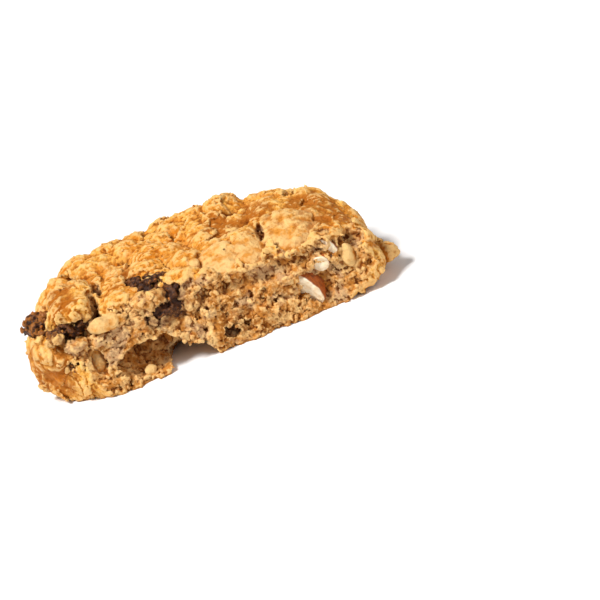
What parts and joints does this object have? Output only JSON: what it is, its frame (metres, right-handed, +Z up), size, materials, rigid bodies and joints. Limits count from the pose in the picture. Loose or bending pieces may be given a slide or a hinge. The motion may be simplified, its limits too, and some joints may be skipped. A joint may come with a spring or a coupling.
{
  "type": "fig almond biscuit",
  "caption": "Half of a thick oat biscuit with pieces of dried fig and chopped almond in its broken side, resting flat on its underside.",
  "frame": {"origin": "middle of the flat underside, under the centre of the half's bounding box", "axes": "+X along the break, -Y out of the broken side, +Z up from the underside"},
  "size_m": [0.0798, 0.0436, 0.0225],
  "materials": {
    "dough": "matte baked crust and crumb",
    "fig": "moist dark dried fruit",
    "almond": "satin brown skin with a cream cut face"
  },
  "bodies": {
    "root": {"biscuit_half": "dough", "fig_middle": "fig", "fig_left_end": "fig", "fig_left_inner": "fig", "fig_low_left": "fig", "almond_piece": "almond", "almond_bit": "almond", "almond_sliver": "almond"}
  },
  "joints": []
}
